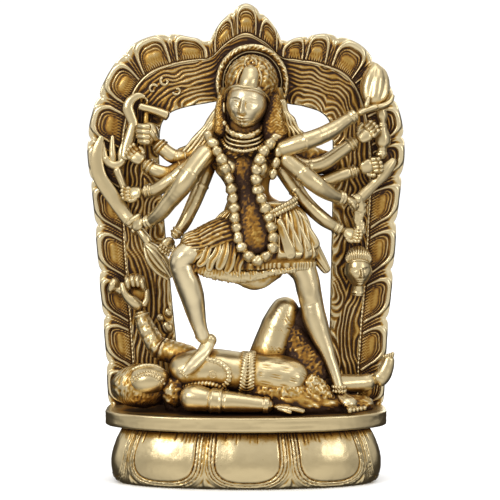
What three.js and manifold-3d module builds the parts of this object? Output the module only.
// A small temple figure cast in brass. A goddess with ten arms stands with one foot on a lying god
// and one on the deck, before an arch edged with petals, over a lotus base.
// Millimetres, +Z up, the front faces -Y, and the origin is the middle of the base's underside.

import * as THREE from 'three';
import { mergeVertices } from 'three/addons/utils/BufferGeometryUtils.js';
import Module from 'manifold-3d';

// The lotus base: half widths of its plan at the foot, at the bulge and under the deck
const base = {
  height: 25.3,
  footHalfWidth: 55.5,
  bulgeHalfWidth: 58,
  bulgeHeight: 7.5,
  topHalfWidth: 52,
  halfDepth: 23.8,
  petals: 9,
  petalLift: 2.4,
};

// The deck over it, with room for both figures and the arch
const deck = {
  halfWidth: 61.5,
  halfDepth: 27,
  thickness: 6.3,
  edgeRound: 1.2,
};
const deckTop = base.height + deck.thickness;

// The arch: heights are over the deck, and its front is so far behind the middle of the base
const arch = {
  height: 179,
  halfWidth: 71,
  frontY: 17.5,
  thickness: 6.5,
  petals: 25,
  petalLift: 1.5,
  notchDepth: 1.4,
  ridgeLift: 1.1,
};

// The nimbus behind her head, over the deck
const nimbus = {
  centreX: 2.7,
  centreHeight: 142.7,
  halfWidth: 16,
  halfHeight: 17,
  rimWidth: 2.6,
  rimLift: 1.5,
  thickness: 7,
};

// The standing goddess, from the deck to the top of her crown, and the god lying under her
const goddess = { height: 154 };
const god = { length: 121 };

// Her pose is drawn on a figure 154 high and his on one 121 long. Both are drawn with the front of the
// arch 16 behind the middle, its edge 71 out to each side, and bodies that reach 30 to each side
const goddessScale = goddess.height / 154;
const godScale = god.length / 121;
const drawn = { archY: 16, archHalfWidth: 71, bodyReach: 30 };

const wasm = await Module();
wasm.setup();

// Closed three.js geometry to a solid that can be joined
function solid(geometry) {
  geometry.deleteAttribute('normal');
  geometry.deleteAttribute('uv');
  const merged = mergeVertices(geometry, 1e-4);
  return new wasm.Manifold(new wasm.Mesh({
    numProp: 3,
    vertProperties: new Float32Array(merged.attributes.position.array),
    triVerts: new Uint32Array(merged.index.array),
  }));
}

// A closed surface on a sphere's grid: pointAt(turn, row) for each ring, with rows 0 and last as poles
function closedSurface(around, rows, pointAt) {
  const geometry = new THREE.SphereGeometry(1, around, rows);
  const position = geometry.attributes.position;
  for (let row = 0; row <= rows; row++) {
    for (let column = 0; column <= around; column++) {
      const turn = (column % around) / around * 2 * Math.PI;
      const point = pointAt(turn, row);
      position.setXYZ(row * (around + 1) + column, point.x, point.y, point.z);
    }
  }
  return solid(geometry);
}

// Level rings from the top down: each is [x, y, z, halfWidth, halfDepth]
function stack(rings, around, place) {
  const rows = rings.length + 1;
  return closedSurface(around, rows, (turn, row) => {
    const ring = rings[THREE.MathUtils.clamp(row - 1, 0, rings.length - 1)];
    const spread = row === 0 || row === rows ? 0 : 1;
    const x = ring[0] + ring[3] * Math.cos(turn) * spread;
    const y = ring[1] + ring[4] * Math.sin(turn) * spread;
    return place(x, y, ring[2]);
  });
}

// A limb or a cord: a round section along a smooth line through [x, y, z, radius]
function limb(stations, { around = 7, rows = 8, flat = 1, ends = 0.7, place }) {
  const line = new THREE.CatmullRomCurve3(stations.map(([x, y, z]) => place(x, y, z)));
  const unit = place(1, 0, 0).distanceTo(place(0, 0, 0));
  const last = stations.length - 1;
  const depthAxis = new THREE.Vector3(0, 1, 0);
  return closedSurface(around, rows, (turn, row) => {
    const along = THREE.MathUtils.clamp((row - 1) / (rows - 2), 0, 1);
    const index = Math.min(Math.floor(along * last), last - 1);
    const between = along * last - index;
    const radius = unit * THREE.MathUtils.lerp(stations[index][3], stations[index + 1][3], between);
    const centre = line.getPoint(along);
    const tangent = line.getTangent(along);
    if (row === 0 || row === rows) {
      return centre.addScaledVector(tangent, radius * ends * (row === 0 ? -1 : 1));
    }
    const depth = depthAxis.clone().addScaledVector(tangent, -tangent.y).normalize();
    const side = depth.clone().cross(tangent);
    centre.addScaledVector(side, radius * Math.cos(turn));
    return centre.addScaledVector(depth, -radius * flat * Math.sin(turn));
  });
}

// An egg: half sizes across, deep and high, leaning to +X by an angle in degrees
function egg([x, y, z], [across, deep, high], place, { around = 8, rows = 6, lean = 0 } = {}) {
  const tilt = THREE.MathUtils.degToRad(lean);
  return closedSurface(around, rows, (turn, row) => {
    const polar = row / rows * Math.PI;
    const u = across * Math.sin(polar) * Math.cos(turn);
    const w = high * Math.cos(polar);
    const v = deep * Math.sin(polar) * Math.sin(turn);
    return place(
      x + u * Math.cos(tilt) + w * Math.sin(tilt),
      y + v,
      z - u * Math.sin(tilt) + w * Math.cos(tilt));
  });
}

function join(solids) {
  return solids.reduce((whole, next) => whole.add(next));
}

// Plan of the base and deck: half an ellipse in front, and a rounded square behind
function planPoint(turn, halfWidth, halfDepth, z) {
  const cos = Math.cos(turn);
  const sin = Math.sin(turn);
  const power = sin > 1e-9 ? 0.3 : 1;
  return new THREE.Vector3(
    halfWidth * Math.sign(cos) * Math.abs(cos) ** power,
    halfDepth * Math.sign(sin) * Math.abs(sin) ** power,
    z);
}

// How far the base is drawn in from its bulge at a height, to the foot or to the deck
function baseDrawnIn(z) {
  const below = z < base.bulgeHeight;
  const end = below ? base.footHalfWidth : base.topHalfWidth;
  const reach = below ? base.bulgeHeight : base.height - base.bulgeHeight;
  return (base.bulgeHalfWidth - end) * (Math.abs(z - base.bulgeHeight) / reach) ** 2;
}

// Relief of one petal over its own width and height, both from 0 to 1, with 1 as its full lift:
// a dome in the middle, a groove round it, and a raised border that falls away at the edge
const petalProfile = [[0, 1], [0.42, 0.9], [0.62, 0.45], [0.82, 0.8], [1, 0]];
function petalRelief(phase, height) {
  const across = Math.abs(phase * 2 - 1);
  const down = Math.max(0, 1 - height * 2);
  const reach = Math.min((across ** 2.6 + down ** 2.6) ** (1 / 2.6), 1);
  const next = petalProfile.findIndex(([share]) => share >= reach);
  if (next === 0) {
    return petalProfile[0][1];
  }
  const [fromReach, fromLift] = petalProfile[next - 1];
  const [toReach, toLift] = petalProfile[next];
  return THREE.MathUtils.mapLinear(reach, fromReach, toReach, fromLift, toLift);
}

// The base with its petals hanging from under the deck, and the deck over it, as one turned form
function makeBase() {
  const round = deck.edgeRound;
  const deckRings = [
    [deckTop, -round], [deckTop - round, 0], [base.height, 0],
  ];
  const petalHeights = [1, 0.6, 0.28, 0.12, 0];
  const phases = [0, 0.09, 0.19, 0.29, 0.71, 0.81, 0.91];
  const around = base.petals * phases.length;
  const rings = deckRings.length + petalHeights.length;
  const rows = rings + 1;
  return closedSurface(around, rows, (turn, row) => {
    const ring = THREE.MathUtils.clamp(row - 1, 0, rings - 1);
    const column = Math.round(turn / (2 * Math.PI) * around);
    const phase = phases[column % phases.length];
    const petalTurn = (Math.floor(column / phases.length) + phase) / base.petals * 2 * Math.PI;
    const frontTurn = petalTurn - Math.PI / 2 - Math.PI / base.petals;
    const spread = row === 0 || row === rows ? 0 : 1;
    if (ring < deckRings.length) {
      const [z, grow] = deckRings[ring];
      return planPoint(frontTurn, (deck.halfWidth + grow) * spread, (deck.halfDepth + grow) * spread, z);
    }
    const height = petalHeights[ring - deckRings.length];
    const z = height * base.height;
    const lift = height > 0 ? base.petalLift * petalRelief(phase, height) : 0;
    const grow = lift - baseDrawnIn(z);
    return planPoint(frontTurn, (base.bulgeHalfWidth + grow) * spread, (base.halfDepth + grow) * spread, z);
  });
}

// Half of the arch, from its foot to its tip, as shares of its half width and height: the outer
// edge, the bead line that the petals grow from, and the edge of the opening
const archHalf = [
  { outer: [0.870, 0], bead: [0.690, 0], inner: [0.500, 0] },
  { outer: [0.890, 0.157], bead: [0.708, 0.157], inner: [0.525, 0.157] },
  { outer: [0.925, 0.325], bead: [0.740, 0.320], inner: [0.535, 0.320] },
  { outer: [0.957, 0.493], bead: [0.762, 0.482], inner: [0.543, 0.480] },
  { outer: [0.995, 0.639], bead: [0.770, 0.617], inner: [0.546, 0.610] },
  { outer: [0.960, 0.734], bead: [0.740, 0.712], inner: [0.543, 0.672] },
  { outer: [0.880, 0.813], bead: [0.690, 0.780], inner: [0.525, 0.706] },
  { outer: [0.730, 0.893], bead: [0.600, 0.822], inner: [0.470, 0.730] },
  { outer: [0.520, 0.925], bead: [0.450, 0.846], inner: [0.370, 0.744] },
  { outer: [0.325, 0.916], bead: [0.300, 0.857], inner: [0.260, 0.752] },
  { outer: [0.240, 0.911], bead: [0.218, 0.864], inner: [0.190, 0.757] },
  { outer: [0.140, 0.962], bead: [0.113, 0.900], inner: [0.100, 0.760] },
  { outer: [0, 1], bead: [0, 0.920], inner: [0, 0.760] },
];

// The left leg is wider than the right one at its foot, by this share of the half width
const leftFootExtra = 0.115;

// One of the arch's lines, left foot to right foot, as places over the deck
function archLine(kind) {
  const right = archHalf.map((pair) => pair[kind]);
  const left = right.slice(0, -1).map(([across, up]) => {
    const extra = kind === 'inner' ? leftFootExtra * Math.max(0, 1 - up / 0.6) : 0;
    return [extra - across, up];
  });
  return new THREE.CatmullRomCurve3([...left, ...right.reverse()].map(([across, up]) =>
    new THREE.Vector3(across * arch.halfWidth, arch.frontY, deckTop + up * arch.height)));
}

// The arch is one bar, bent from foot to foot. Across it, from the outer edge to the opening:
// the petals' rim, a groove, the petals' domes, the bead line, and the ridges of the flames.
// Each is [share of the way from edge to beads or from beads to opening, lift on a petal, lift at a notch]
function makeArch() {
  const outer = archLine('outer');
  const bead = archLine('bead');
  const inner = archLine('inner');
  outer.arcLengthDivisions = 800;
  const { petalLift, ridgeLift, thickness } = arch;
  const section = [
    { from: 0, lift: -thickness, notchLift: -thickness },
    { from: 0, lift: 0, notchLift: 0 },
    { from: 0.1, lift: petalLift, notchLift: 0 },
    { from: 0.27, lift: 0.2, notchLift: 0 },
    { from: 0.5, lift: petalLift, notchLift: 0 },
    { from: 0.86, lift: 0.3, notchLift: 0 },
    { from: 1, lift: ridgeLift, notchLift: ridgeLift },
    { from: 1.2, lift: 0, notchLift: 0 },
    { from: 1.6, lift: ridgeLift, notchLift: ridgeLift },
    { from: 2, lift: 0, notchLift: 0 },
    { from: 2, lift: -thickness, notchLift: -thickness },
  ];
  // Steps along each petal: the notch, and the two sides of its crown
  const phases = [0, 0.29, 0.71];
  const rings = arch.petals * phases.length + 1;
  const rows = rings + 1;
  const sunk = deck.thickness / 2;
  return closedSurface(section.length, rows, (turn, row) => {
    const ring = THREE.MathUtils.clamp(row - 1, 0, rings - 1);
    const phase = phases[ring % phases.length];
    const at = outer.getUtoTmapping((Math.floor(ring / phases.length) + phase) / arch.petals);
    const edge = outer.getPoint(at);
    const beads = bead.getPoint(at);
    const opening = inner.getPoint(at);
    if (phase === 0) {
      edge.lerp(beads, arch.notchDepth / edge.distanceTo(beads));
    }
    const column = Math.round(turn / (2 * Math.PI) * section.length);
    const { from, lift, notchLift } = section[section.length - 1 - column];
    const point = from < 1 ? edge.lerp(beads, from) : beads.lerp(opening, from - 1);
    if (row === 0 || row === rows) {
      point.copy(bead.getPoint(at));
      point.y += thickness / 2;
    } else {
      point.y -= phase === 0 ? notchLift : lift;
    }
    if (row < 2 || row > rows - 2) {
      point.z = deckTop - sunk;
    }
    return point;
  });
}

// Places of the two poses, with heights over the deck. What is behind the middle is a share of the way
// to the arch's front, and what reaches out past the bodies is a share of the way to its edge, so that
// hands and what they hold stay joined to it
function posed(scale) {
  const reachLeft = arch.halfWidth - drawn.bodyReach * scale;
  const stretch = reachLeft / (drawn.archHalfWidth - drawn.bodyReach);
  return (x, y, z) => {
    const within = THREE.MathUtils.clamp(x, -drawn.bodyReach, drawn.bodyReach);
    const across = within * scale + (x - within) * stretch;
    const depth = y > 0 ? y / drawn.archY * arch.frontY : y * scale;
    return new THREE.Vector3(across, depth, deckTop + z * scale);
  };
}
const her = posed(goddessScale);
const his = posed(godScale);

// The nimbus: a disc behind her head, let into the arch, with a raised rim
function makeNimbus() {
  const { centreX, halfWidth, halfHeight, rimWidth, rimLift } = nimbus;
  const z = deckTop + nimbus.centreHeight;
  const back = arch.frontY + arch.thickness / 2;
  const front = arch.frontY - nimbus.thickness;
  const face = front + rimLift;
  const rimReach = 1 - rimWidth / halfWidth;
  const faceReach = rimReach - rimLift / halfWidth / 2;
  const rings = [[0, back], [1, back], [1, front], [rimReach, front], [faceReach, face], [0, face]];
  return closedSurface(20, rings.length - 1, (turn, row) => {
    const [reach, y] = rings[row];
    return new THREE.Vector3(
      centreX - halfWidth * reach * Math.cos(turn),
      y,
      z + halfHeight * reach * Math.sin(turn));
  });
}

function makeHead() {
  const parts = [
    egg([-0.6, -3.5, 133], [8.6, 8.6, 10.2], her, { around: 10, rows: 7, lean: 4 }),
    egg([2.4, 1.5, 142.5], [12.4, 9.5, 12], her, { around: 10, rows: 6 }),
    egg([0.8, -5.5, 146], [4.2, 3.6, 6], her, { around: 7, rows: 5, lean: -4 }),
  ];
  const browBand = [
    [-9.5, -3, 139.5, 1], [-5, -9.3, 141.6, 1], [2, -10.3, 141.3, 1], [8.5, -6.5, 138, 1], [10.5, -1, 135, 1],
  ];
  const nose = [[-1.3, -11.2, 137.5, 0.8], [-1.6, -12.5, 133.2, 1.5]];
  parts.push(limb(browBand, { around: 4, rows: 7, place: her }));
  parts.push(limb(nose, { around: 4, rows: 4, place: her }));
  parts.push(egg([-1.5, -10.8, 129.6], [2.4, 1.6, 0.9], her, { around: 6, rows: 4 }));
  parts.push(egg([-1.6, -10.2, 127.4], [1.1, 1.5, 2], her, { around: 5, rows: 4 }));
  for (const side of [-1, 1]) {
    parts.push(egg([-1.2 + side * 3.7, -9.8, 135.4], [2, 1.5, 0.9], her, { around: 5, rows: 4 }));
  }
  return join(parts);
}

function makeTorso() {
  const body = stack([
    [-0.8, 1, 124, 4.8, 4.6],
    [-0.8, 1, 117.6, 5.8, 5.4],
    [-1, 2, 113.6, 14.5, 6],
    [-0.8, 2, 105, 13, 7],
    [0.5, 2, 98.5, 9.8, 6],
    [1.6, 1.5, 93.5, 9.4, 5.6],
    [5, 1, 89, 14, 7.2],
    [6.6, 1, 82, 18, 8.6],
    [5.5, 1, 72, 18, 7],
  ], 12, her);
  const parts = [body];
  for (const side of [-1, 1]) {
    parts.push(egg([-1.2 + side * 6.8, -4, 106], [4.8, 4.4, 4.6], her, { around: 8, rows: 5 }));
  }
  // The hair lies spread behind both shoulders
  const hair = [[2.6, 6, 141, 13, 5], [2.4, 6, 131, 15.5, 5], [1.6, 6, 121, 22, 4.6], [0.4, 6, 113, 27.5, 4]];
  parts.push(stack(hair, 8, her));
  return join(parts);
}

// The pleated skirt: a bell round the hips, a sleeve along the raised thigh, and the rear hem
function makeSkirt() {
  const bell = [
    [8.5, 1, 91, 13, 7.4, 0], [7, 0.5, 84, 19, 9.4, 0.04], [5.4, 0, 75, 24, 10.4, 0.1],
    [4.4, -0.5, 65.4, 27.4, 10.8, 0.11], [4.6, -0.5, 62, 26, 9.6, 0.06],
  ];
  const pleats = 12;
  const rows = bell.length + 1;
  const pleated = closedSurface(pleats * 2, rows, (turn, row) => {
    const [x, y, z, halfWidth, halfDepth, fold] = bell[THREE.MathUtils.clamp(row - 1, 0, bell.length - 1)];
    if (row === 0 || row === rows) {
      return her(x, y, z);
    }
    const spread = 1 + fold * Math.cos(turn * pleats);
    return her(x + halfWidth * spread * Math.cos(turn), y + halfDepth * spread * Math.sin(turn), z);
  });
  const thigh = [[0, 0, 78, 8.6], [-11, -4.5, 75, 8.8], [-21, -8.2, 71.2, 7.6]];
  const rearTail = [[25, 3, 76, 4], [30.5, 4, 69, 2.6], [36.4, 6, 58.6, 1.2]];
  const belt = [
    [-9.3, -3.6, 84.4, 1.1], [-3, -7.2, 83.6, 1.1], [6, -8.6, 84.2, 1.1],
    [15.5, -7, 88, 1.1], [21.6, -1, 91.6, 1.1],
  ];
  const parts = [
    pleated,
    limb(thigh, { around: 8, rows: 6, ends: 0.3, place: her }),
    egg([4.6, 4.5, 63], [14, 3, 10.5], her, { around: 8, rows: 5 }),
    limb(rearTail, { around: 5, rows: 5, flat: 0.6, place: her }),
    limb(belt, { around: 4, rows: 7, place: her }),
  ];
  // Pleats over the thigh, from under the belt to the hem
  const thighPleats = [[-24, -13.4, 66], [-18.6, -14.4, 64.4], [-13, -13.8, 63.6]];
  for (const [hemX, hemY, hemZ] of thighPleats) {
    const middle = [hemX * 0.55 - 3.4, hemY + 1.2, 71.5, 1.6];
    const pleat = [[-5, -7.6, 79.5, 1.1], middle, [hemX, hemY, hemZ, 1.7]];
    parts.push(limb(pleat, { around: 4, rows: 5, place: her }));
  }
  return join(parts);
}

function makeLegs() {
  const raised = [
    [-20, -7.6, 71.4, 6.8], [-27.6, -10, 69, 6.2], [-25.2, -10, 61.5, 5.9], [-23, -9, 54, 5.6],
    [-21.4, -7.6, 44, 4.2], [-19.8, -6, 35, 3], [-18.6, -5, 30.4, 3],
  ];
  const raisedFoot = [
    [-15.4, -3.4, 30.4, 2.8], [-18.6, -6.4, 27.2, 3],
    [-23.4, -9.6, 20.6, 2.7], [-27.6, -12, 14.8, 2],
  ];
  const straight = [
    [19, 1, 72, 7.4], [25.4, 0, 60, 5.6], [28, 0, 50, 5.4], [29.4, 0, 42, 5.2], [32.4, 0, 33, 4.4],
    [35.6, 0.4, 25, 3], [38.6, 0.8, 16, 2.3], [41, 1, 8.6, 2.4],
  ];
  const straightFoot = [[41.6, 2.4, 4.6, 3.3], [44.6, -4, 3.2, 3.2], [49, -12.4, 1.6, 2.4]];
  return join([
    limb(raised, { around: 8, rows: 9, place: her }),
    limb(raisedFoot, { around: 7, rows: 6, flat: 0.8, place: her }),
    limb(straight, { around: 8, rows: 9, place: her }),
    limb(straightFoot, { around: 7, rows: 5, flat: 0.8, place: her }),
  ]);
}

// The ten arms, each from its shoulder to the wrist, with the place of its hand
const arms = [
  {
    line: [[-16, -2, 114, 4.4], [-26, -9, 100, 4.2], [-38, -1, 85, 3.1], [-48, 6, 81.6, 2]],
    hand: [-51, 7, 81.8],
  },
  {
    line: [[-20, 4, 109.4, 3.2], [-31, 3, 101, 3], [-40, 5, 96, 2.6], [-49.5, 8, 96.6, 2]],
    hand: [-52.4, 9, 98],
  },
  {
    line: [[-21, 6, 110, 3.2], [-33, 6, 102.8, 3], [-41, 6.4, 104.8, 2.6], [-47.4, 8.4, 110, 2.2]],
    hand: [-50.4, 9.4, 113],
  },
  {
    line: [[-20, 6, 113.4, 3], [-29, 7, 110.2, 3], [-36.6, 8, 114.4, 3], [-41, 9, 119.6, 2.8]],
    hand: [-43.4, 10.4, 123],
    fist: 3.8,
  },
  {
    line: [[-15, 6, 110, 3.2], [-21, 3.4, 94.6, 3], [-29, 2, 79, 2.5], [-34, 2.6, 73, 2]],
    hand: [-36, 3.4, 70],
  },
  {
    line: [[14, -3, 113, 3.8], [28, -6, 118, 3.6], [40, -1, 124, 3], [50, 5, 130, 2.1]],
    hand: [54.6, 8, 131.6],
  },
  {
    line: [[18, 5, 110, 3.2], [30, 6, 106.6, 3.2], [40, 6.4, 112, 2.9], [51, 8, 119.6, 2.2]],
    hand: [56, 8.6, 124.8],
  },
  {
    line: [[18, 7, 107, 3.2], [31, 8, 99, 3], [42, 8, 103, 2.7], [52, 9, 106, 2.2]],
    hand: [56.6, 9.6, 107.4],
  },
  {
    line: [[15, -2.4, 111.6, 4], [30, -5, 99, 3.7], [40, 1, 92.4, 2.9], [48.6, 7, 92, 2.1]],
    hand: [52, 9, 93],
  },
  {
    line: [[15, 4, 107, 3.2], [27, 4, 89.6, 3.1], [38, 5.6, 80.4, 2.8], [47, 8.6, 76.2, 2]],
    hand: [50.6, 9.6, 74.6],
  },
];

function makeArms() {
  const parts = [];
  for (const { line, hand, fist = 3 } of arms) {
    parts.push(limb([...line, [...hand, fist]], { around: 6, rows: 6, place: her }));
  }
  return join(parts);
}

// What the hands hold, each joined to the arch behind it
function makeAttributes() {
  const sword = [
    [-43, 7, 73.4, 1.6], [-47.5, 7, 79, 1.6], [-53, 10, 84.6, 2.6],
    [-60.4, 13, 94.6, 3], [-65.4, 14, 105, 2.8],
    [-64.6, 14, 113, 1.8], [-62.4, 14, 119.4, 0.8],
  ];
  const hook = [
    [-53.6, 12.4, 112, 2], [-51, 14.2, 119, 1.7], [-49.8, 14.4, 125, 1.8], [-52.6, 14.4, 131, 1.9],
    [-51.6, 14.4, 136, 2], [-46, 14.8, 138, 1.2],
  ];
  const rod = [[-48, 14.6, 134, 2.1], [-34.4, 15, 129.4, 2.2]];
  const tridentStaff = [[-52, 10, 92, 1.6], [-55.6, 12.4, 101, 1.9], [-57.4, 13, 107, 2.4]];
  const dagger = [[65, 14, 109, 1], [60.4, 13.6, 103, 2.6], [56, 12.6, 97, 2], [51, 11, 90.4, 1.5]];
  const bow = [
    [50.6, 11, 92.6, 2.4], [55.4, 12.6, 89.4, 3.2], [55.6, 13, 84, 2.8],
    [54.6, 12.6, 78, 3.2], [50, 11, 73.4, 2.4],
  ];
  const conch = [
    [57.6, 13.4, 151.4, 1.4, 1.2], [57.4, 12.4, 148, 4.6, 3.4],
    [57, 11.4, 142, 6, 4.4], [57, 10.2, 137, 5, 4.2],
    [56.8, 9, 133, 2.6, 2.6],
  ];
  const bell = [
    [60.6, 12.6, 130, 1.8, 2.2], [60.8, 13, 124, 2, 2.4], [61, 13, 119, 3.2, 3.2], [61, 13, 115.4, 3.9, 3.6],
    [60, 13, 111.6, 2.2, 2.4],
  ];
  const parts = [
    limb(sword, { around: 5, rows: 9, flat: 0.55, place: her }),
    limb(hook, { around: 5, rows: 8, flat: 0.9, place: her }),
    limb(rod, { around: 6, rows: 4, place: her }),
    limb(tridentStaff, { around: 4, rows: 5, place: her }),
    egg([-38.4, 5, 65.6], [9, 3.6, 3.8], her, { around: 8, rows: 5, lean: 38 }),
    stack(conch, 6, her),
    stack(bell, 6, her),
    limb(dagger, { around: 5, rows: 6, flat: 0.8, place: her }),
    limb(bow, { around: 5, rows: 7, flat: 0.8, place: her }),
  ];
  // The trident's three prongs spread from the top of its staff
  const [forkX] = tridentStaff[tridentStaff.length - 1];
  for (const tipX of [-63.6, -59.8, -55.2]) {
    const prong = [[forkX, 13, 106, 1.4], [(tipX + forkX) / 2 - 0.4, 14, 110, 1.4], [tipX, 14.4, 117.6, 0.8]];
    parts.push(limb(prong, { around: 4, rows: 4, place: her }));
  }
  return join(parts);
}

function makeSeveredHead() {
  return join([
    egg([50.2, 11, 61], [5.2, 5.2, 6.6], her, { around: 8, rows: 6, lean: -4 }),
    egg([50, 13, 66.4], [6.2, 4, 5.4], her, { around: 7, rows: 5 }),
    limb([[49.8, 12.6, 56, 2.6], [49.2, 13.4, 48.6, 2.5]], { around: 6, rows: 4, ends: 0.1, place: her }),
    limb([[50, 5.8, 63, 0.6], [50, 5.2, 60.2, 1]], { around: 4, rows: 4, place: her }),
    egg([50, 6.4, 57.8], [1.5, 1, 0.6], her, { around: 5, rows: 4 }),
  ]);
}

// The long garland, as one beaded cord in a loop from both shoulders, and the collar over it
function makeGarland() {
  const stations = [
    [-15.6, -2, 118], [-11.4, -5.6, 112], [-7.6, -8, 104], [-5.4, -5.8, 95.6], [-4.6, -6.4, 88.6],
    [-3.4, -9, 78.8], [-0.6, -10.6, 71.2], [5, -10.8, 66.8], [10.4, -10.6, 71.2], [10.2, -9.4, 79.6],
    [7.4, -7, 88.8], [4.6, -5.8, 95.6], [3.8, -7.6, 104], [7, -6.4, 112], [12, -3, 118],
  ];
  const beads = 23;
  const beadRadius = 2.3;
  const gapRadius = 1.5;
  const line = new THREE.CatmullRomCurve3(stations.map(([x, y, z]) => new THREE.Vector3(x, y, z)));
  const beaded = [];
  for (let i = 0; i <= beads * 2; i++) {
    const point = line.getPointAt(i / (beads * 2));
    beaded.push([point.x, point.y, point.z, i % 2 === 0 ? gapRadius : beadRadius]);
  }
  const collar = [
    [-7.6, 0, 123, 1.2], [-6, -3.6, 120.2, 1.2], [-1, -5, 118.4, 1.2],
    [4.4, -3.8, 120, 1.2], [6.6, 0, 122.6, 1.2],
  ];
  return join([
    limb(beaded, { around: 4, rows: beads * 2 + 2, place: her }),
    limb(collar, { around: 4, rows: 7, place: her }),
  ]);
}

// The god on the deck, his head to the left, with one arm raised and one knee bent
function makeGod() {
  const trunk = [
    [-31, -2, 15, 6], [-20, -2.6, 16, 8.2], [-9, -3, 16.4, 7.8],
    [2, -3, 15.4, 7.4], [13, -3, 14.4, 8.6], [24, -2, 12, 8],
  ];
  const raisedArm = [[-25, 2, 20, 5.2], [-36, 5, 24, 5], [-42.4, 7, 32, 4], [-46.6, 9, 41.6, 3]];
  const raisedHand = [[-46.8, 9, 41, 2.6], [-48.4, 10, 47, 3.6], [-50.6, 11, 51.4, 3]];
  const nearArm = [
    [-26, -12.4, 5.4, 4.8], [-15, -14.4, 5.2, 4.4], [-1, -15.2, 4.8, 3.8],
    [9, -15.2, 4.2, 2.6], [17, -15, 2.6, 2.6],
    [25, -15, 1.4, 1.6],
  ];
  const farLeg = [
    [8, 3, 14, 7.6], [14.6, 4, 32, 6.6], [18.6, 4.4, 44, 4.8],
    [22.4, 5, 40, 4.6], [26, 6, 26, 5], [29.6, 6, 12, 4],
  ];
  const nearLeg = [
    [12, -3, 14, 8.4], [24, -4, 13.6, 7.4], [34, 0, 12.4, 6], [44, 4, 11.4, 4.6], [55, 7, 11.6, 3.6],
    [60, 8.6, 14, 3.4], [62.4, 9.4, 20.6, 2.6],
  ];
  // the gathered cloth that fills the bend of the knee and comes down on the deck behind her leg
  const cloth = [[19.4, 4, 38, 4.4], [21.8, 3.4, 27, 6.6], [25.6, 2, 15, 8.6], [30, 0, 6, 8]];
  const ground = [[-40, 0, 2, 6], [0, 2, 3, 9], [34, 2, 2, 8], [54, 2, 1.4, 4]];
  const belt = [[0.4, -9.6, 6, 3], [-0.4, -10.6, 14, 3], [0.4, -7, 20.4, 3], [0.4, 0, 22, 3]];
  return join([
    limb(trunk, { around: 8, rows: 7, flat: 1.25, place: his }),
    egg([-43, -4, 12.4], [8.8, 7, 6.2], his, { around: 8, rows: 6, lean: -6 }),
    egg([-42, -2.6, 6], [15.6, 8, 7.4], his, { around: 7, rows: 5 }),
    limb(raisedArm, { around: 6, rows: 6, place: his }),
    limb(raisedHand, { around: 5, rows: 5, flat: 0.8, place: his }),
    egg([-56, 12.6, 51], [3.6, 3.8, 4.6], his, { around: 6, rows: 4 }),
    egg([-47.6, 12, 54.6], [4.6, 4.4, 3.2], his, { around: 5, rows: 4 }),
    limb(nearArm, { around: 6, rows: 7, place: his }),
    limb(farLeg, { around: 6, rows: 8, place: his }),
    limb(nearLeg, { around: 7, rows: 8, place: his }),
    limb(cloth, { around: 6, rows: 6, place: his }),
    limb(ground, { around: 5, rows: 5, flat: 1.3, place: his }),
    limb(belt, { around: 5, rows: 6, flat: 0.6, place: his }),
  ]);
}

// All of it is one casting, cut level with the base's underside
function makeFigure() {
  const whole = join([
    makeBase(), makeArch(), makeNimbus(), makeTorso(), makeHead(), makeSkirt(), makeLegs(), makeArms(),
    makeAttributes(), makeSeveredHead(), makeGarland(), makeGod(),
  ]);
  const mesh = whole.getMesh();
  const geometry = new THREE.BufferGeometry();
  geometry.setAttribute('position', new THREE.BufferAttribute(mesh.vertProperties, 3));
  geometry.setIndex(new THREE.BufferAttribute(mesh.triVerts, 1));
  geometry.computeVertexNormals();
  const brass = new THREE.MeshStandardMaterial({ color: 0xb9924a, roughness: 0.35, metalness: 1 });
  const figure = new THREE.Mesh(geometry, brass);
  figure.name = 'kali_figure';
  return figure;
}

const group = new THREE.Group();
group.add(makeFigure());

export default group;
